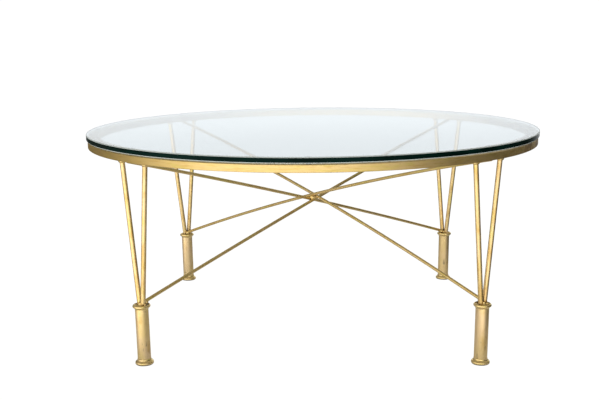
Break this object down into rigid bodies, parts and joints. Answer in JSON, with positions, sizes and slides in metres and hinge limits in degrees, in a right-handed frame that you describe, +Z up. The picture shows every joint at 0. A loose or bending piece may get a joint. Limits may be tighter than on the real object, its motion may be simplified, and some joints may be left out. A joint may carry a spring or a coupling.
{
  "type": "round coffee table",
  "caption": "Round low table: a loose thick glass disc on a ring of flat bar, carried by V-shaped rod legs on short turned feet, with crossed brace rods.",
  "frame": {"origin": "point of the floor under the middle of the table", "axes": "+Z up out of the tabletop; -Y is the front, and the legs stand at 45 degrees to +X and +Y"},
  "size_m": [1.0667, 1.0668, 0.4685],
  "materials": {
    "plate_glass": "clear float glass with a green cast, polished faces and a ground and polished edge",
    "clear_bumper": "soft clear plastic, satin",
    "gilded_ring": "hand-gilded iron flat bar, hammered and rubbed, darker in the hollows",
    "gilded_rod": "hand-gilded iron rod, bright, with short brown brush marks",
    "gilded_tube": "hand-gilded iron tube, pale gold, with worn patches and small dark scratches",
    "gilded_turned": "gilded turned iron, bright on the rims and dark in the hollows",
    "gilded_weld": "gilded weld metal, lumpy, with brown in the crevices"
  },
  "bodies": {
    "base": {"rim_ring": "gilded_ring", "glass_bumpers": "clear_bumper", "ring_weld_beads": "gilded_weld", "brace_tip_welds": "gilded_weld", "crossing_weld": "gilded_weld", "foot_flange_front_left": "gilded_turned", "foot_tube_front_left": "gilded_tube", "foot_collar_front_left": "gilded_turned", "collar_weld_front_left": "gilded_weld", "leg_rod_1_front_left": "gilded_rod", "leg_rod_2_front_left": "gilded_rod", "brace_rod_front_left": "gilded_rod", "foot_flange_front_right": "gilded_turned", "foot_tube_front_right": "gilded_tube", "foot_collar_front_right": "gilded_turned", "collar_weld_front_right": "gilded_weld", "leg_rod_1_front_right": "gilded_rod", "leg_rod_2_front_right": "gilded_rod", "brace_rod_front_right": "gilded_rod", "foot_flange_back_right": "gilded_turned", "foot_tube_back_right": "gilded_tube", "foot_collar_back_right": "gilded_turned", "collar_weld_back_right": "gilded_weld", "leg_rod_1_back_right": "gilded_rod", "leg_rod_2_back_right": "gilded_rod", "brace_rod_back_right": "gilded_rod", "foot_flange_back_left": "gilded_turned", "foot_tube_back_left": "gilded_tube", "foot_collar_back_left": "gilded_turned", "collar_weld_back_left": "gilded_weld", "leg_rod_1_back_left": "gilded_rod", "leg_rod_2_back_left": "gilded_rod", "brace_rod_back_left": "gilded_rod"},
    "top": {"glass_top": "plate_glass"}
  },
  "joints": [
    {"name": "glass_lift", "type": "slide", "parent": "base", "child": "top", "axis": [0, 0, 1], "range_m": [0, 0.15]}
  ]
}
